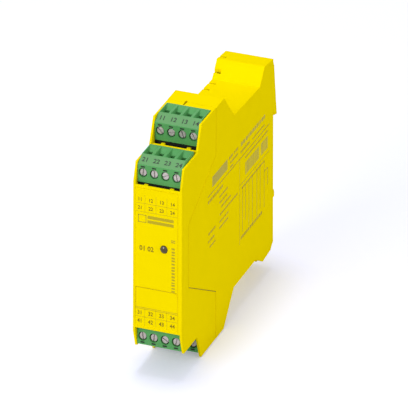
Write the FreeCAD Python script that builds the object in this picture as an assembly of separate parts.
import FreeCAD, Part
import math
import os
from FreeCAD import Vector

# Slim safety relay in a stepped plastic housing, made to clip on a 35 mm top-hat rail.
#
# Frame: X across the width, Y from the front face back to the rail, Z up. The origin is the
# middle of the flat back that seats on the rail. All sizes are in millimetres.
# Outlines are drawn on the side of the housing: an outline is a list of (depth, height) corners,
# with an optional third value, the radius that rounds that corner. Depth runs back from the front
# face, and height is counted from mid height.

# ---- Housing ------------------------------------------------------------------------------
WIDTH = 22.5
HEIGHT = 99.0
RAIL_DEPTH = 110.1            # front face to the back that seats on the rail
SIDE_WALL = 1.1
SKIN = 1.2                    # front, top, bottom and back walls
CHEEK_STEP = 0.1              # the front housing's cheeks lie this much inside the base's sides
SEAM_GAP = 0.15
EDGE_RADIUS = 0.6

FACE_DROP = 18.0              # ends of the flat front face, in from the top and the bottom
SHOULDER_DEPTH = 2.7
SHOULDER_DROP = 10.5          # cheeks beside the front plugs, below the top
RISER_SETBACK = 3.8           # the cheeks rise this far in front of the rear plugs
RISER_LEAN = 4.6
PEAK_RUN = 9.5                # length of the humps behind the seam
VALLEY_DROP = 12.3
VALLEY_FALL = 1.2             # the top valley falls this much towards the back
EAR_LENGTH = 11.1             # ear that carries the rail hook
EAR_RISE = 6.6
EAR_RUN = 6.0
EAR_TOP_FALL = 1.1
FOOT_LENGTH = 12.8            # foot that carries the rail catch
FOOT_RUN = 8.7
FOOT_DROP = 4.6
HEEL_RISE = 3.4

# Seam between the base housing and the front housing, seen from the side
TONGUE_DEPTH = 8.0
TONGUE_HALF = 13.3
SEAM_SETBACK = 3.6            # behind the rear plugs
KNEE_DROP = 20.3              # the seam's knee below the top

# ---- Rail hook and catch ---------------------------------------------------------------------
RAIL_HALF = 17.5              # half the width of the rail
RAIL_PLAY = 0.3               # free height above the rail's flange
RAIL_SLOT = 1.3               # room for the 1 mm flange
HOOK_REACH = 4.4              # how far the hook stands behind the back
HOOK_LAP = 1.9                # how far the hook laps the flange
HOOK_SHOULDER = 1.0
CATCH_WIDTH = 11.4
CATCH_DEPTH = 5.5
CATCH_TRAVEL = 3.0
CATCH_PLAY = 0.3
CATCH_LAP = 1.0               # how far the nose laps the flange
NOSE_THICK = 1.0
NOSE_BAR = 1.9
NOSE_SIDE_PLAY = 0.35
FLANGE_WIDTH = 0.8            # side flanges that guide the catch in its grooves
FLANGE_THICK = 1.0
FLANGE_SETBACK = 0.9
TAB_LENGTH = 4.2              # the catch's tab below the foot
EYE_WIDTH = 4.6
EYE_HEIGHT = 1.4
WINDOW_WIDTH = 4.6            # window in the catch for the spring
WINDOW_HEIGHT = 13.0
WINDOW_DROP = 6.0
LUG_HEIGHT = 3.0
SPRING_STRIP = 0.35           # height of the strip's section
SPRING_FOLDS = 7
SPRING_INSET = 0.6            # spring inside the catch's faces and the window's sides
SPRING_PLAY = 0.05

# ---- Plugs, one four-pole screw plug on each of two levels above and below --------------------
POLES = 4
PITCH = 5.08
PLUG_SIDE_PLAY = 0.15
FIRST_DEPTH = 2.4             # screw face of the front plugs, behind the front face
PLUG_DEPTH = 14.4
PLUG_PROUD = 0.3              # rear plugs above the housing's top
PLUG_LENGTH = 18.0
HEAD_HEIGHT = 9.8             # the head overhangs the stem that stands in the header
STEM_SETBACK = 1.95
STRIP_RUN = 5.0               # the marking strip slopes between the screw face and the top
STRIP_RISE = 2.4
PLUG_PLAY = 0.25              # plug in its header
LEVEL_UP = 9.4                # the rear level lies this much above the front level

FUNNEL_WIDTH = 3.9
FUNNEL_LIP = 0.3
FUNNEL_BACK_WALL = 0.9
FUNNEL_DEPTH = 1.6
WIRE_WIDTH = 2.8
WIRE_SIZE = 2.6

SCREW_RISE = 4.0              # screw's axis above the foot of the screw face
SCREW_RADIUS = 1.7
SCREW_PLAY = 0.25
SCREW_SINK = 0.6
SCREW_HEAD = 1.5
SHANK_RADIUS = 1.45
SHANK_LENGTH = 4.8
THREAD_PLAY = 0.1
SHANK_SIDES = 12              # the thread is a plain many-sided bar in a many-sided bore
BORE_SIDES = 8
DRIVE_WIDTH = 0.6
DRIVE_DEPTH = 0.7
DRIVE_ANGLES = (-45.0, 70.0, -20.0, -35.0, 8.0, -5.0, 65.0, -15.0)
PROBE_WIDTH = 1.7             # probe slit above each screw
PROBE_HEIGHT = 0.6
PROBE_RISE = 2.5
PROBE_DEPTH = 0.6

CAGE_WIDTH = 3.9
CAGE_LENGTH = 3.5
CAGE_BLOCK = 1.2              # threaded end of the clamp cage
CAGE_WINDOW = 4.4
CAGE_WINDOW_WIDTH = 3.1       # clears the screw as the cage moves
CAGE_BAR = 1.0
CAGE_TRAVEL = 2.4
CAGE_PLAY = 0.2
CAGE_STOP = 0.8               # left under the screw head when the clamp is shut

STRAP_THICK = 0.8             # contact strap that the wire is clamped against
STRAP_WIDTH = 2.3
STRAP_PLAY = 0.1
LEG_THICK = 0.45
LEG_LENGTH = 5.0
SOCKET_WIDTH = 2.2
SOCKET_BLOCK = 1.1
SOCKET_DEPTH = 0.8            # legs stop this far inside the plug's underside
SOCKET_ROOM = 0.35

PIN_SIZE = 1.0
PIN_PLAY = 0.15
PIN_HEIGHT = 5.6
TAIL_FIRST = 2.0
TAIL_STEP = 2.0
TAIL_END = 0.1                # solder end that stands out of the board

HEADER_WALL = 1.35
HEADER_BACK_WALL = 1.0
HEADER_FLOOR = 1.45
HEADER_GAP = 0.3              # header's rim below the plug's overhanging head
LEDGE_THICK = 1.2
LEDGE_DROP = 0.75             # ledge below the foot of the screw face
LEDGE_GAP = 1.95              # ledge to the header behind it
LEDGE_ROOM = 1.15             # ledge to the header in front of it
OPENING_GAP = 0.5             # housing's top behind the rear plugs
FACE_TOP_DROP = 1.35          # front face's top edge below the straight part of the outline
TAB_OFFSET = 5.9
TAB_WIDTH = 1.8
TAB_THICK = 1.0
TAB_GAP = 0.2

# ---- Front face ---------------------------------------------------------------------------------
PANEL_LEFT = -10.1            # sunk panel, a little left of the middle
PANEL_RIGHT = 9.3
PANEL_HALF = 29.2
PANEL_SINK = 0.25
FIELD_TOP = -12.9             # groove over the panel's lower field, bent down at its right end
FIELD_SIDE = 8.9
FIELD_RADIUS = 1.6
FIELD_GROOVE = 0.25
FIELD_SINK = 0.2
LAMP_X = 2.9
LAMP_HEIGHT = 4.8
LAMP_RADIUS = 1.6
LAMP_PLAY = 0.1
LAMP_OUT = 0.7
LAMP_LENGTH = 4.6
LAMP_RIM = 0.4
LEAD_SIZE = 0.5
LEAD_PITCH = 1.27
LEAD_RUN = 3.0

# ---- Vents and snap slot in the base housing's top ----------------------------------------------
VENTS = 5
VENTS_LENGTH = 34.6           # first vent in front of the rail
VENT_PITCH = 6.7
VENT_SLOT = 1.2
VENT_REACH = 3.3
VENT_DROP = 3.2
SNAP_X = -2.8
SNAP_SETBACK = 3.0            # behind the rear plugs
SNAP_WIDTH = 0.8
SNAP_LENGTH = 4.4

# ---- Circuit board and what it carries -----------------------------------------------------------
BOARD_THICK = 1.6
BOARD_FRONT = 5.0
BOARD_REAR_GAP = 10.1         # board's back edge in front of the rail
BOARD_WALL_GAP = 0.2
BOARD_EDGE_GAP = 1.0
HOLE_PLAY = 0.1
SOLDER_GAP = 0.05
RELAY_LENGTH = 40.0
RELAY_HEIGHT = 13.0
RELAY_THICK = 15.0
RELAY_GAP = 4.0
RELAY_CHAMFER = 1.0
RELAY_PINS = 4
CAN_RADIUS = 4.0
CAN_HEIGHT = 11.0
RELAY_CAN_GAP = 5.0
CAN_SETBACK = 7.0             # from the board's back edge
CAN_SPREAD = 20.0
CHIP_THICK = 1.8
# Each chip: middle in front of the relays, middle's height, length and height
CHIPS = ((19.0, 7.5, 7.0, 5.0), (20.0, -4.0, 9.0, 4.0), (10.0, 4.0, 5.0, 6.0), (12.0, -14.0, 10.0, 4.0))

# ---- Derived sizes ---------------------------------------------------------------------------------
HALF_WIDTH = WIDTH / 2
HALF_HEIGHT = HEIGHT / 2
INNER_HALF = HALF_WIDTH - SIDE_WALL
CHEEK_HALF = HALF_WIDTH - CHEEK_STEP
PLUG_HALF = INNER_HALF - PLUG_SIDE_PLAY
POLE_X = [(i - (POLES - 1) / 2) * PITCH for i in range(POLES)]
FAR = 2 * RAIL_DEPTH          # well outside the housing
OVERCUT = 0.6                 # cuts start this far outside a surface

# Depths behind the front face; the plugs, headers and ledges are those of the rear bays
HEADER_DEPTH = PLUG_DEPTH - STEM_SETBACK + 2 * PLUG_PLAY + HEADER_WALL + HEADER_BACK_WALL
LEVEL_BACK = HEADER_DEPTH + LEDGE_ROOM + LEDGE_THICK + LEDGE_GAP
PLUG_FRONT = FIRST_DEPTH + LEVEL_BACK
PLUG_BACK = PLUG_FRONT + PLUG_DEPTH
STRIP_BACK = PLUG_FRONT + STRIP_RUN
STEM_FRONT = PLUG_FRONT + STEM_SETBACK
PIN_DEPTH = (STEM_FRONT + PLUG_BACK) / 2
HEADER_FRONT = STEM_FRONT - PLUG_PLAY - HEADER_WALL
HEADER_REAR = HEADER_FRONT + HEADER_DEPTH
LEDGE_BACK = HEADER_FRONT - LEDGE_GAP
LEDGE_FRONT = LEDGE_BACK - LEDGE_THICK
OPENING_BACK = PLUG_BACK + OPENING_GAP
RISER_DEPTH = PLUG_FRONT - RISER_SETBACK
SEAM_DEPTH = PLUG_BACK + SEAM_SETBACK
PEAK_DEPTH = SEAM_DEPTH + PEAK_RUN
VALLEY_FRONT = PEAK_DEPTH + VALLEY_DROP
EAR_DEPTH = RAIL_DEPTH - EAR_LENGTH
FOOT_DEPTH = RAIL_DEPTH - FOOT_LENGTH

# Heights above the middle
FACE_HALF = HALF_HEIGHT - FACE_DROP
FACE_TOP = FACE_HALF - FACE_TOP_DROP
SHOULDER_HEIGHT = HALF_HEIGHT - SHOULDER_DROP
VALLEY_HEIGHT = HALF_HEIGHT - VALLEY_DROP
SEAM_KNEE = HALF_HEIGHT - KNEE_DROP
EAR_FOOT = VALLEY_HEIGHT - VALLEY_FALL
EAR_HEIGHT = EAR_FOOT + EAR_RISE
PLUG_TOP = HALF_HEIGHT + PLUG_PROUD
PLUG_BOTTOM = PLUG_TOP - PLUG_LENGTH
FACE_FOOT = PLUG_TOP - HEAD_HEIGHT
SCREW_HEIGHT = FACE_FOOT + SCREW_RISE
HEADER_TOP = FACE_FOOT - HEADER_GAP
HEADER_BOTTOM = PLUG_BOTTOM - PLUG_PLAY - HEADER_FLOOR
LEDGE_TOP = FACE_FOOT - LEDGE_DROP

# The board and what stands on it
BOARD_LOW = -INNER_HALF + BOARD_WALL_GAP
BOARD_HIGH = BOARD_LOW + BOARD_THICK
BOARD_BACK = RAIL_DEPTH - BOARD_REAR_GAP
CAN_DEPTH = BOARD_BACK - CAN_SETBACK
RELAY_FRONT = CAN_DEPTH - CAN_RADIUS - RELAY_CAN_GAP - RELAY_LENGTH

# Each bay: name, how many levels forward of the rear one, and up (1) or down (-1)
BAYS = (("upper_rear", 0, 1), ("upper_front", 1, 1), ("lower_front", 1, -1), ("lower_rear", 0, -1))


# ---- Helpers -----------------------------------------------------------------------------------------
def at(depth, height, x=0.0):
    """Point from depth behind the front face, height above the middle and place across."""
    return Vector(x, depth - RAIL_DEPTH, height)


def corner_arc(before, corner, after, radius):
    """Start, middle and end of the arc that rounds one corner."""
    back = (before - corner).normalize()
    onward = (after - corner).normalize()
    half = back.getAngle(onward) / 2
    reach = radius / math.tan(half)
    middle = (back + onward).normalize()
    summit = corner + middle * (radius / math.sin(half) - radius)
    return corner + back * reach, summit, corner + onward * reach


def outline_face(corners, x=0.0):
    """Flat face across X, from (depth, height[, radius]) corners."""
    points = [at(corner[0], corner[1], x) for corner in corners]
    ends = []
    edges = []
    for i, corner in enumerate(corners):
        if len(corner) > 2:
            onward = points[(i + 1) % len(points)]
            start, summit, end = corner_arc(points[i - 1], points[i], onward, corner[2])
            edges.append(Part.Arc(start, summit, end).toShape())
            ends.append((start, end))
        else:
            ends.append((points[i], points[i]))
    for i, (start, end) in enumerate(ends):
        edges.append(Part.LineSegment(ends[i - 1][1], start).toShape())
    return Part.Face(Part.Wire(Part.__sortEdges__(edges)))


def prism(corners, x_low, x_high):
    """Outline pushed across the width from x_low to x_high."""
    return outline_face(corners, x_low).extrude(Vector(x_high - x_low, 0, 0))


def block(x, depth, height):
    """Box from (low, high) pairs across, in depth and in height."""
    corner = at(depth[0], height[0], x[0])
    return Part.makeBox(x[1] - x[0], depth[1] - depth[0], height[1] - height[0], corner)


def about(centre, size):
    """(low, high) pair of a size about its centre."""
    return centre - size / 2, centre + size / 2


def fuse(shapes):
    """One solid from touching or overlapping solids."""
    return shapes[0].multiFuse(shapes[1:]).removeSplitter() if len(shapes) > 1 else shapes[0]


def flip(shape):
    """Mirror image below mid height."""
    return shape.mirror(Vector(0, 0, 0), Vector(0, 0, 1))


def both_ways(shape):
    """The shape and its mirror image below mid height."""
    return [shape, flip(shape)]


def in_bay(shape, levels_forward, up):
    """Copy of a piece of the rear upper bay, moved to another bay."""
    moved = shape.copy()
    moved.translate(Vector(0, -levels_forward * LEVEL_BACK, -levels_forward * LEVEL_UP))
    return moved if up > 0 else flip(moved)


def save(name, *solids):
    """Write one node. Its solids stay separate."""
    shape = solids[0] if len(solids) == 1 else Part.makeCompound(list(solids))
    shape.exportStep("parts/" + name + ".step")


# ---- Housing outlines -----------------------------------------------------------------------------------
def housing_outline():
    """Side outline of the whole housing without its rail hook, clockwise from the face's top."""
    front_top = [
        (0, FACE_HALF),
        (SHOULDER_DEPTH, SHOULDER_HEIGHT, EDGE_RADIUS),
        (RISER_DEPTH, SHOULDER_HEIGHT, EDGE_RADIUS),
        (RISER_DEPTH + RISER_LEAN, HALF_HEIGHT, EDGE_RADIUS),
        (PEAK_DEPTH, HALF_HEIGHT, EDGE_RADIUS),
    ]
    top = front_top + [
        (VALLEY_FRONT, VALLEY_HEIGHT),
        (EAR_DEPTH - EAR_RUN, EAR_FOOT),
        (EAR_DEPTH, EAR_HEIGHT, 2 * EDGE_RADIUS),
        (RAIL_DEPTH, EAR_HEIGHT - EAR_TOP_FALL),
    ]
    bottom = [(corner[0], -corner[1]) + corner[2:] for corner in front_top] + [
        (VALLEY_FRONT, -VALLEY_HEIGHT),
        (FOOT_DEPTH - FOOT_RUN, -VALLEY_HEIGHT),
        (FOOT_DEPTH, -VALLEY_HEIGHT - FOOT_DROP, 2 * EDGE_RADIUS),
        (RAIL_DEPTH - HEEL_RISE, -VALLEY_HEIGHT - FOOT_DROP + HEEL_RISE / 4, 2 * EDGE_RADIUS),
        (RAIL_DEPTH, -VALLEY_HEIGHT - FOOT_DROP + HEEL_RISE, EDGE_RADIUS),
    ]
    return top + bottom[::-1]


def front_region(gap):
    """Side outline of the room that belongs to the front housing, grown by a seam gap."""
    above = [(TONGUE_DEPTH + gap, TONGUE_HALF), (SEAM_DEPTH + gap, SEAM_KNEE), (SEAM_DEPTH + gap, FAR)]
    below = [(depth, -height) for depth, height in above]
    return [(-FAR, -FAR)] + below[::-1] + above + [(-FAR, FAR)]


def inset(corners, distance):
    """Clockwise outline moved inwards by a wall, with sharp corners."""
    points = [Vector(corner[0], corner[1], 0) for corner in corners]
    moved = []
    for i, point in enumerate(points):
        before = (point - points[i - 1]).normalize()
        after = (points[(i + 1) % len(points)] - point).normalize()
        bend = Vector(before.y + after.y, -before.x - after.x, 0)
        corner = point + bend * (distance / (1 + before.dot(after)))
        moved.append((corner.x, corner.y))
    return moved


def cavity():
    """Room inside both housings."""
    return prism(inset(housing_outline(), SKIN), -INNER_HALF, INNER_HALF)


# ---- Base housing ---------------------------------------------------------------------------------------
def rail_hook():
    """Fixed hook over the rail's upper flange, with the slot the flange stands in."""
    tip = RAIL_HALF - HOOK_LAP
    return prism([
        (RAIL_DEPTH - SKIN, EAR_HEIGHT - EAR_TOP_FALL),
        (RAIL_DEPTH - SKIN / 2, EAR_HEIGHT - EAR_TOP_FALL),
        (RAIL_DEPTH + HOOK_SHOULDER, EAR_HEIGHT - EAR_TOP_FALL - HEEL_RISE, 2 * EDGE_RADIUS),
        (RAIL_DEPTH + HOOK_REACH, tip, EDGE_RADIUS),
        (RAIL_DEPTH + RAIL_SLOT, tip + EDGE_RADIUS),
        (RAIL_DEPTH + RAIL_SLOT, RAIL_HALF + RAIL_PLAY),
        (RAIL_DEPTH - SKIN, RAIL_HALF + RAIL_PLAY),
    ], -HALF_WIDTH, HALF_WIDTH)


CATCH_HALF = CATCH_WIDTH / 2
CATCH_FACE = RAIL_DEPTH - CATCH_PLAY            # back of the sliding catch
CATCH_FRONT = CATCH_FACE - CATCH_DEPTH
FOOT_HEIGHT = -VALLEY_HEIGHT - FOOT_DROP
CATCH_TOP = -RAIL_HALF - RAIL_PLAY              # shelf the rail's lower flange stands on
WINDOW_TOP = CATCH_TOP - WINDOW_DROP
WINDOW_BOTTOM = WINDOW_TOP - WINDOW_HEIGHT
FLANGE_FRONT = CATCH_FRONT + FLANGE_SETBACK


def catch_guide():
    """Block at the foot that guides the catch, before its channel is cut."""
    half = CATCH_HALF + CATCH_PLAY + FLANGE_WIDTH + SKIN
    front = CATCH_FRONT - CATCH_PLAY - SKIN
    top = CATCH_TOP + CATCH_TRAVEL + SKIN
    return block((-half, half), (front, RAIL_DEPTH - SKIN / 2), (FOOT_HEIGHT + SKIN, top))


def catch_channel():
    """Channel, open at the back and below, with a groove on each side."""
    half = CATCH_HALF + CATCH_PLAY
    top = CATCH_TOP + CATCH_PLAY
    channel = block((-half, half), (CATCH_FRONT - CATCH_PLAY, FAR), (-FAR, top))
    groove = block(
        (-half - FLANGE_WIDTH, half + FLANGE_WIDTH),
        (FLANGE_FRONT - CATCH_PLAY, FLANGE_FRONT + FLANGE_THICK + CATCH_PLAY),
        (-FAR, top),
    )
    return channel.fuse(groove)


def catch_lug():
    """Lug in the channel that the catch's spring stands on."""
    half = WINDOW_WIDTH / 2 - CATCH_PLAY
    low = WINDOW_BOTTOM + CATCH_PLAY
    depth = (CATCH_FRONT - CATCH_PLAY - SKIN, CATCH_FACE - FLANGE_SETBACK)
    return block((-half, half), depth, (low, low + LUG_HEIGHT))


def vents():
    """Slots across the top's left edge."""
    slots = []
    for i in range(VENTS):
        depth = RAIL_DEPTH - VENTS_LENGTH + i * VENT_PITCH
        surface = EAR_HEIGHT if depth > EAR_DEPTH - EAR_RUN / 2 else VALLEY_HEIGHT
        x = (-FAR, -HALF_WIDTH + VENT_REACH)
        slots.append(block(x, about(depth, VENT_SLOT), (surface - VENT_DROP, FAR)))
    return slots


def snap_slot():
    """Slot across the seam, over the snap that holds the two housings together."""
    depth = about(PLUG_BACK + SNAP_SETBACK, SNAP_LENGTH)
    return block(about(SNAP_X, SNAP_WIDTH), depth, (HALF_HEIGHT - 2 * SKIN, FAR))


def base_housing():
    """Tub with the rail hook, the catch's guide and the vents."""
    outer = prism(housing_outline(), -HALF_WIDTH, HALF_WIDTH)
    outer = outer.cut(prism(front_region(SEAM_GAP), -FAR, FAR))
    shell = outer.cut(cavity())
    shell = fuse([shell, rail_hook(), catch_guide()]).cut(catch_channel())
    shell = fuse([shell, catch_lug()])
    return shell.cut([snap_slot()] + vents())


# ---- Front housing --------------------------------------------------------------------------------------
def bay_mouths():
    """Openings of the front and rear plug bays above mid height."""
    inner = (-INNER_HALF, INNER_HALF)
    return [
        block(inner, (-FAR, LEDGE_FRONT), (FACE_TOP, FAR)),
        block(inner, (LEDGE_BACK, OPENING_BACK), (FACE_TOP, FAR)),
        block(inner, (-FAR, OPENING_BACK), (LEDGE_TOP, FAR)),
    ]


def ledge():
    """Wall across between the front plug's header and the rear one."""
    overlap = (CHEEK_HALF + INNER_HALF) / 2
    return block((-overlap, overlap), (LEDGE_FRONT, LEDGE_BACK), (HEADER_BOTTOM - LEVEL_UP, LEDGE_TOP))


def header_tabs():
    """Small tabs that reach back from the ledge and the face to the headers, two to a bay."""
    tabs = []
    for wall_back, header_front, top in (
            (LEDGE_BACK, HEADER_FRONT, LEDGE_TOP), (SKIN, HEADER_FRONT - LEVEL_BACK, FACE_TOP)):
        for side in (-1, 1):
            depth = (wall_back - SKIN / 2, header_front - TAB_GAP)
            tabs.append(block(about(side * TAB_OFFSET, TAB_WIDTH), depth, (top - TAB_THICK, top)))
    return tabs


def field_groove():
    """Groove along the top of the panel's lower field, with its rounded corner."""
    rings = []
    for grow in (FIELD_GROOVE, 0.0):
        side, top = FIELD_SIDE + grow, FIELD_TOP + grow
        ring = block((-FAR, side), (-FAR, PANEL_SINK + FIELD_SINK), (-FAR, top))
        corner = [edge for edge in ring.Edges if all(
            abs(v.X - side) < OVERCUT and abs(v.Z - top) < OVERCUT for v in edge.Vertexes)]
        rings.append(ring.makeFillet(FIELD_RADIUS + grow, corner))
    inside = block((PANEL_LEFT, PANEL_RIGHT), (-FAR, FAR), about(FIELD_TOP, 2 * FIELD_RADIUS))
    return rings[0].cut(rings[1]).common(inside)


def front_housing():
    """Front face, cheeks and plug bays in one moulding."""
    shell = prism(housing_outline(), -CHEEK_HALF, CHEEK_HALF)
    shell = shell.common(prism(front_region(0.0), -FAR, FAR)).cut(cavity())
    for mouth in bay_mouths():
        shell = shell.cut(both_ways(mouth))
    walls = both_ways(ledge())
    for tab in header_tabs():
        walls += both_ways(tab)
    shell = fuse([shell] + walls)
    panel = block((PANEL_LEFT, PANEL_RIGHT), (-FAR, PANEL_SINK), (-PANEL_HALF, PANEL_HALF))
    lamp = lamp_cylinder(LAMP_RADIUS + LAMP_PLAY, -FAR, SKIN + LAMP_PLAY)
    return shell.cut([panel, lamp, field_groove(), snap_slot(), flip(snap_slot())])


# ---- Status lamp ----------------------------------------------------------------------------------------
def lamp_cylinder(radius, depth_low, depth_high):
    """Round bar along the lamp's axis."""
    start = at(depth_low, LAMP_HEIGHT, LAMP_X)
    return Part.makeCylinder(radius, depth_high - depth_low, start, Vector(0, 1, 0))


def status_lamp():
    """Domed lamp with the rim that stops it behind the front face."""
    dome_radius = (LAMP_RADIUS ** 2 + LAMP_OUT ** 2) / (2 * LAMP_OUT)
    dome = Part.makeSphere(dome_radius, at(dome_radius - LAMP_OUT, LAMP_HEIGHT, LAMP_X))
    body = lamp_cylinder(LAMP_RADIUS, -LAMP_OUT, LAMP_LENGTH)
    front = body.common(block((-FAR, FAR), (-FAR, dome_radius - LAMP_OUT), (-FAR, FAR)))
    back = body.cut(front)
    rim = lamp_cylinder(LAMP_RADIUS + LAMP_RIM, SKIN + LAMP_PLAY, SKIN + LAMP_PLAY + LAMP_RIM)
    return fuse([front.common(dome), back, rim])


def lamp_leads():
    """Two leads from the lamp, bent across to the board."""
    leads = []
    for side in (-1, 1):
        height = about(LAMP_HEIGHT + side * LEAD_PITCH, LEAD_SIZE)
        corner = LAMP_LENGTH + LEAD_RUN
        out = block(about(LAMP_X, LEAD_SIZE), (LAMP_LENGTH, corner), height)
        across = block((BOARD_LOW - TAIL_END, LAMP_X + LEAD_SIZE / 2), (corner - LEAD_SIZE, corner), height)
        leads.append(fuse([out, across]))
    return leads


# ---- Plug: everything is made for the rear upper bay -----------------------------------------------------
def screw_bar(x, radius, inward):
    """Round bar on a screw's axis, between two distances behind the screw face."""
    start = at(PLUG_FRONT + inward[0], SCREW_HEIGHT, x)
    return Part.makeCylinder(radius, inward[1] - inward[0], start, Vector(0, 1, 0))


def many_sided_bar(x, sides, reach, inward):
    """Many-sided bar on a screw's axis; reach is the radius out to its corners."""
    corners = []
    for i in range(sides):
        turn = 2 * math.pi * i / sides
        height = SCREW_HEIGHT + reach * math.sin(turn)
        corners.append(at(PLUG_FRONT + inward[0], height, x + reach * math.cos(turn)))
    face = Part.Face(Part.makePolygon(corners + corners[:1]))
    return face.extrude(Vector(0, inward[1] - inward[0], 0))


def screw_block(x, inward, height):
    """Box behind the screw face, from (low, high) pairs across, inward and in height."""
    return block(x, (PLUG_FRONT + inward[0], PLUG_FRONT + inward[1]), height)


HEAD_FOOT = SCREW_SINK + SCREW_HEAD
SHANK_END = HEAD_FOOT + SHANK_LENGTH
STRAP_TOP = SHANK_END + STRAP_PLAY
CAGE_TOP = HEAD_FOOT + CAGE_STOP + CAGE_TRAVEL
CAGE_HEIGHT = CAGE_BLOCK + CAGE_WINDOW + CAGE_BAR
ROOM_TOP = HEAD_FOOT + CAGE_PLAY
ROOM_END = CAGE_TOP + CAGE_HEIGHT + CAGE_PLAY
SOCKET_HALF = PIN_SIZE / 2 + PIN_PLAY + LEG_THICK
SOCKET_TOP = PLUG_BOTTOM + SOCKET_DEPTH + LEG_LENGTH + SOCKET_BLOCK
FUNNEL_FRONT = STRIP_BACK + FUNNEL_LIP
FUNNEL_BACK = PLUG_BACK - FUNNEL_BACK_WALL
FUNNEL_MIDDLE = (FUNNEL_FRONT + FUNNEL_BACK) / 2


def plug_outline():
    """Side outline of a plug: head with a sloping marking strip, over a straight stem."""
    return [
        (PLUG_BACK, PLUG_TOP, EDGE_RADIUS / 2),
        (STRIP_BACK, PLUG_TOP),
        (PLUG_FRONT, PLUG_TOP - STRIP_RISE),
        (PLUG_FRONT, FACE_FOOT),
        (STEM_FRONT, FACE_FOOT),
        (STEM_FRONT, PLUG_BOTTOM),
        (PLUG_BACK, PLUG_BOTTOM),
    ]


def frustum(middle, mouth, throat, widen):
    """Corners of a tapering section as (place, 1 at the mouth or 0 at the throat)."""
    spread = throat + (mouth - throat) * widen
    wide = about(middle, spread)
    narrow = about(middle, throat)
    return [(wide[0], 1), (wide[1], 1), (narrow[1], 0), (narrow[0], 0)]


def wire_funnel(x):
    """Long mouth that narrows to the wire's way into the clamp."""
    top, low = PLUG_TOP + OVERCUT, PLUG_TOP - FUNNEL_DEPTH
    widen = 1 + OVERCUT / FUNNEL_DEPTH
    side = frustum(FUNNEL_MIDDLE, FUNNEL_BACK - FUNNEL_FRONT, WIRE_SIZE, widen)
    front = frustum(x, FUNNEL_WIDTH, WIRE_WIDTH, widen)
    deep = prism([(place, top if end else low) for place, end in side], x - FUNNEL_WIDTH, x + FUNNEL_WIDTH)
    corners = [at(PLUG_FRONT, top if end else low, place) for place, end in front]
    wide = Part.Face(Part.makePolygon(corners + corners[:1])).extrude(Vector(0, PLUG_DEPTH, 0))
    way = block(about(x, WIRE_WIDTH), about(FUNNEL_MIDDLE, WIRE_SIZE), (SCREW_HEIGHT, low))
    return fuse([deep.common(wide), way])


def plug_body():
    """Insulating body with funnels, screw bores, clamp rooms and contact rooms."""
    body = prism(plug_outline(), -PLUG_HALF, PLUG_HALF)
    bore = SCREW_RADIUS + SCREW_PLAY
    clamp_room = about(SCREW_HEIGHT, CAGE_LENGTH + 2 * CAGE_PLAY)
    strap_room = (STRAP_TOP - STRAP_PLAY, STRAP_TOP + STRAP_THICK + STRAP_PLAY)
    probe = about(SCREW_HEIGHT + PROBE_RISE, PROBE_HEIGHT)
    rooms = []
    for x in POLE_X:
        rooms.append(wire_funnel(x))
        rooms.append(screw_bar(x, bore, (-OVERCUT, ROOM_TOP)))
        rooms.append(screw_block(about(x, CAGE_WIDTH + 2 * CAGE_PLAY), (ROOM_TOP, ROOM_END), clamp_room))
        strap_width = about(x, STRAP_WIDTH + 2 * STRAP_PLAY)
        rooms.append(screw_block(strap_width, strap_room, (SOCKET_TOP, SCREW_HEIGHT)))
        rooms.append(block(
            about(x, SOCKET_WIDTH + 2 * SOCKET_ROOM),
            about(PIN_DEPTH, 2 * (SOCKET_HALF + SOCKET_ROOM)),
            (PLUG_BOTTOM - OVERCUT, SOCKET_TOP + SOCKET_ROOM),
        ))
        rooms.append(screw_block(about(x, PROBE_WIDTH), (-OVERCUT, PROBE_DEPTH), probe))
    return body.cut(rooms)


def contact(x):
    """Strap in the clamp, with a two-legged socket for the header's pin."""
    top = SOCKET_TOP - SOCKET_BLOCK
    strap_height = (top, SCREW_HEIGHT + CAGE_LENGTH / 2)
    strap = screw_block(about(x, STRAP_WIDTH), (STRAP_TOP, STRAP_TOP + STRAP_THICK), strap_height)
    width = about(x, SOCKET_WIDTH)
    pieces = [strap, block(width, about(PIN_DEPTH, 2 * SOCKET_HALF), (top, SOCKET_TOP))]
    for side in (-1, 1):
        leg = about(PIN_DEPTH + side * (SOCKET_HALF - LEG_THICK / 2), LEG_THICK)
        pieces.append(block(width, leg, (PLUG_BOTTOM + SOCKET_DEPTH, top)))
    return fuse(pieces)


def clamp_cage(x):
    """Moving cage: threaded block in front, wire window, bar behind."""
    length = about(SCREW_HEIGHT, CAGE_LENGTH)
    cage = screw_block(about(x, CAGE_WIDTH), (CAGE_TOP, CAGE_TOP + CAGE_HEIGHT), length)
    window_front = CAGE_TOP + CAGE_BLOCK
    window_depth = (window_front, window_front + CAGE_WINDOW)
    window = screw_block(about(x, CAGE_WINDOW_WIDTH), window_depth, about(SCREW_HEIGHT, 2 * CAGE_LENGTH))
    bore_reach = (SHANK_RADIUS + THREAD_PLAY) / math.cos(math.pi / BORE_SIDES)
    thread = many_sided_bar(x, BORE_SIDES, bore_reach, (CAGE_TOP - OVERCUT, window_front + OVERCUT))
    return cage.cut([window, thread])


def clamp_screw(x, drive_angle):
    """Slotted screw, set below the face."""
    head = screw_bar(x, SCREW_RADIUS, (SCREW_SINK, HEAD_FOOT))
    shank = many_sided_bar(x, SHANK_SIDES, SHANK_RADIUS, (HEAD_FOOT, SHANK_END))
    drive_length = about(SCREW_HEIGHT, 3 * SCREW_RADIUS)
    drive = screw_block(about(x, DRIVE_WIDTH), (0, SCREW_SINK + DRIVE_DEPTH), drive_length)
    drive.rotate(at(PLUG_FRONT, SCREW_HEIGHT, x), Vector(0, 1, 0), drive_angle)
    return fuse([head, shank]).cut(drive)


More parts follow.
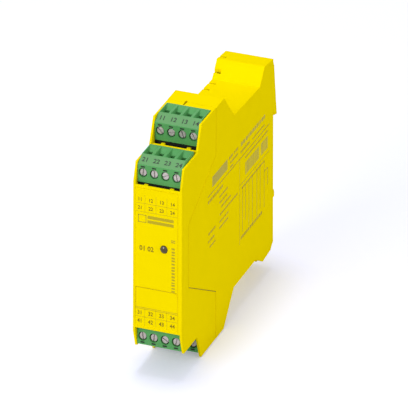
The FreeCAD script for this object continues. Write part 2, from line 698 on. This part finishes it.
# ---- Header: made for the rear upper bay -----------------------------------------------------------------
def header():
    """Open-ended shroud that the plug stands in."""
    bottom = (HEADER_BOTTOM, HEADER_BOTTOM + HEADER_FLOOR)
    across = (-PLUG_HALF, PLUG_HALF)
    walls = [
        block(across, (HEADER_FRONT, HEADER_REAR), bottom),
        block(across, (HEADER_FRONT, HEADER_FRONT + HEADER_WALL), (HEADER_BOTTOM, HEADER_TOP)),
        block(across, (HEADER_REAR - HEADER_BACK_WALL, HEADER_REAR), (HEADER_BOTTOM, HEADER_TOP)),
    ]
    holes = [block(about(x, PIN_SIZE), about(PIN_DEPTH, PIN_SIZE), (0, FAR)) for x in POLE_X]
    return fuse(walls).cut(holes)


def header_pin(i, play=0.0):
    """Square pin, bent across to the board; each next pole's tail runs lower."""
    x = POLE_X[i]
    size = PIN_SIZE + 2 * play
    tail = HEADER_BOTTOM - TAIL_FIRST - i * TAIL_STEP
    top = HEADER_BOTTOM + HEADER_FLOOR + PIN_HEIGHT
    upright = block(about(x, size), about(PIN_DEPTH, size), (tail - size / 2, top))
    across = block((BOARD_LOW - TAIL_END, x), about(PIN_DEPTH, size), about(tail, size))
    return fuse([upright, across])


def header_pins(levels_forward, up, play=0.0):
    """The four pins of one bay."""
    return [in_bay(header_pin(i, play), levels_forward, up) for i in range(POLES)]


# ---- Circuit board ---------------------------------------------------------------------------------------
def relay_block(up):
    """One force-guided relay with bevelled top edges."""
    x = (BOARD_HIGH + SOLDER_GAP, BOARD_HIGH + SOLDER_GAP + RELAY_THICK)
    height = (RELAY_GAP / 2, RELAY_GAP / 2 + RELAY_HEIGHT)
    body = block(x, (RELAY_FRONT, RELAY_FRONT + RELAY_LENGTH), height)
    rim = [edge for edge in body.Edges if all(abs(v.X - x[1]) < SOLDER_GAP / 2 for v in edge.Vertexes)]
    body = body.makeChamfer(RELAY_CHAMFER, rim)
    return body if up > 0 else flip(body)


def relay_pins(up, play=0.0):
    """Two rows of relay pins through the board."""
    pins = []
    size = LEAD_SIZE + 2 * play
    for row in (RELAY_GAP / 2 + RELAY_HEIGHT / 4, RELAY_GAP / 2 + 3 * RELAY_HEIGHT / 4):
        for i in range(RELAY_PINS):
            depth = RELAY_FRONT + RELAY_LENGTH * (i + 0.5) / RELAY_PINS
            x = (BOARD_LOW - TAIL_END, BOARD_HIGH + SOLDER_GAP)
            pins.append(block(x, about(depth, size), about(up * row, size)))
    return pins


def circuit_board():
    """Board that fills the side of the housing, notched round the headers."""
    front_half = HEADER_BOTTOM - LEVEL_UP - BOARD_EDGE_GAP
    rear_half = HEADER_BOTTOM - BOARD_EDGE_GAP
    notch = HEADER_FRONT + BOARD_EDGE_GAP
    above = [(BOARD_FRONT, front_half), (notch, front_half), (notch, rear_half), (BOARD_BACK, rear_half)]
    below = [(depth, -height) for depth, height in above]
    board = prism(above + below[::-1], BOARD_LOW, BOARD_HIGH)
    holes = relay_pins(1, HOLE_PLAY) + relay_pins(-1, HOLE_PLAY)
    for _, levels_forward, up in BAYS:
        holes += header_pins(levels_forward, up, HOLE_PLAY)
    holes += lamp_leads()
    return board.cut(holes)


def can(up):
    """Round capacitor standing on the board."""
    foot = at(CAN_DEPTH, up * CAN_SPREAD / 2, BOARD_HIGH + SOLDER_GAP)
    return Part.makeCylinder(CAN_RADIUS, CAN_HEIGHT, foot, Vector(1, 0, 0))


def chips():
    """Flat chips of the watching circuit."""
    x = (BOARD_HIGH + SOLDER_GAP, BOARD_HIGH + SOLDER_GAP + CHIP_THICK)
    return [
        block(x, about(RELAY_FRONT - ahead, length), about(height, size))
        for ahead, height, length, size in CHIPS
    ]


# ---- Rail catch ------------------------------------------------------------------------------------------
def rail_catch():
    """Sliding foot: nose over the rail's lower flange, guide flanges, spring window and eye."""
    low = FOOT_HEIGHT - TAB_LENGTH
    body = block((-CATCH_HALF, CATCH_HALF), (CATCH_FRONT, CATCH_FACE), (low, CATCH_TOP))
    guide = CATCH_HALF + FLANGE_WIDTH
    flanges = block((-guide, guide), (FLANGE_FRONT, FLANGE_FRONT + FLANGE_THICK), (FOOT_HEIGHT, CATCH_TOP))
    nose_half = HALF_WIDTH - NOSE_SIDE_PLAY
    back = RAIL_DEPTH + RAIL_SLOT + NOSE_THICK
    nose = prism([
        (RAIL_DEPTH + CATCH_PLAY, CATCH_TOP - NOSE_BAR),
        (back, CATCH_TOP - NOSE_BAR),
        (back, CATCH_TOP),
        (RAIL_DEPTH + RAIL_SLOT + NOSE_THICK / 2, CATCH_TOP + RAIL_PLAY + CATCH_LAP),
        (RAIL_DEPTH + RAIL_SLOT, CATCH_TOP + RAIL_PLAY + CATCH_LAP),
        (RAIL_DEPTH + RAIL_SLOT, CATCH_TOP),
        (RAIL_DEPTH + CATCH_PLAY, CATCH_TOP),
    ], -nose_half, nose_half)
    neck_depth = (CATCH_FACE - SKIN, RAIL_DEPTH + RAIL_SLOT)
    neck = block((-CATCH_HALF, CATCH_HALF), neck_depth, (CATCH_TOP - NOSE_BAR, CATCH_TOP))
    window = block(about(0, WINDOW_WIDTH), (0, FAR), (WINDOW_BOTTOM, WINDOW_TOP))
    eye_middle = low + TAB_LENGTH / 2
    eye = block(about(0, EYE_WIDTH), (0, FAR), about(eye_middle, EYE_HEIGHT))
    return fuse([body, flanges, nose, neck]).cut([window, eye])


def catch_spring():
    """Folded strip spring between the housing's lug and the top of the catch's window."""
    low = WINDOW_BOTTOM + CATCH_PLAY + LUG_HEIGHT + SPRING_PLAY
    high = WINDOW_TOP - SPRING_PLAY
    rise = (high - low - SPRING_STRIP) / SPRING_FOLDS
    near = CATCH_FRONT + SPRING_INSET
    far = CATCH_FACE - SPRING_INSET
    half = WINDOW_WIDTH / 2 - SPRING_INSET
    legs = []
    for i in range(SPRING_FOLDS):
        start, end = (near, far) if i % 2 == 0 else (far, near)
        foot = low + i * rise
        head = foot + rise
        leg = [(start, foot), (end, head), (end, head + SPRING_STRIP), (start, foot + SPRING_STRIP)]
        legs.append(prism(leg, -half, half))
    return fuse(legs)


# ---- Build -----------------------------------------------------------------------------------------------
os.makedirs("parts", exist_ok=True)
save("base_housing", base_housing())
save("front_housing", front_housing())
save("status_lamp", status_lamp())
save("lamp_leads", *lamp_leads())
save("circuit_board", circuit_board())
save("relay_k1", relay_block(1))
save("relay_k2", relay_block(-1))
save("relay_pins", *(relay_pins(1) + relay_pins(-1)))
save("capacitors", can(1), can(-1))
save("chips", *chips())
save("rail_catch", rail_catch())
save("catch_spring", catch_spring())

all_pins = []
for bay, levels_forward, up in BAYS:
    all_pins += header_pins(levels_forward, up)
    save("header_" + bay, in_bay(header(), levels_forward, up))
    save("plug_" + bay, in_bay(plug_body(), levels_forward, up))
    save("contacts_" + bay, *[in_bay(contact(x), levels_forward, up) for x in POLE_X])
    for i, x in enumerate(POLE_X):
        angle = DRIVE_ANGLES[levels_forward * POLES + i]
        save("screw_" + bay + "_" + str(i + 1), in_bay(clamp_screw(x, angle), levels_forward, up))
        save("clamp_" + bay + "_" + str(i + 1), in_bay(clamp_cage(x), levels_forward, up))
save("header_pins", *all_pins)
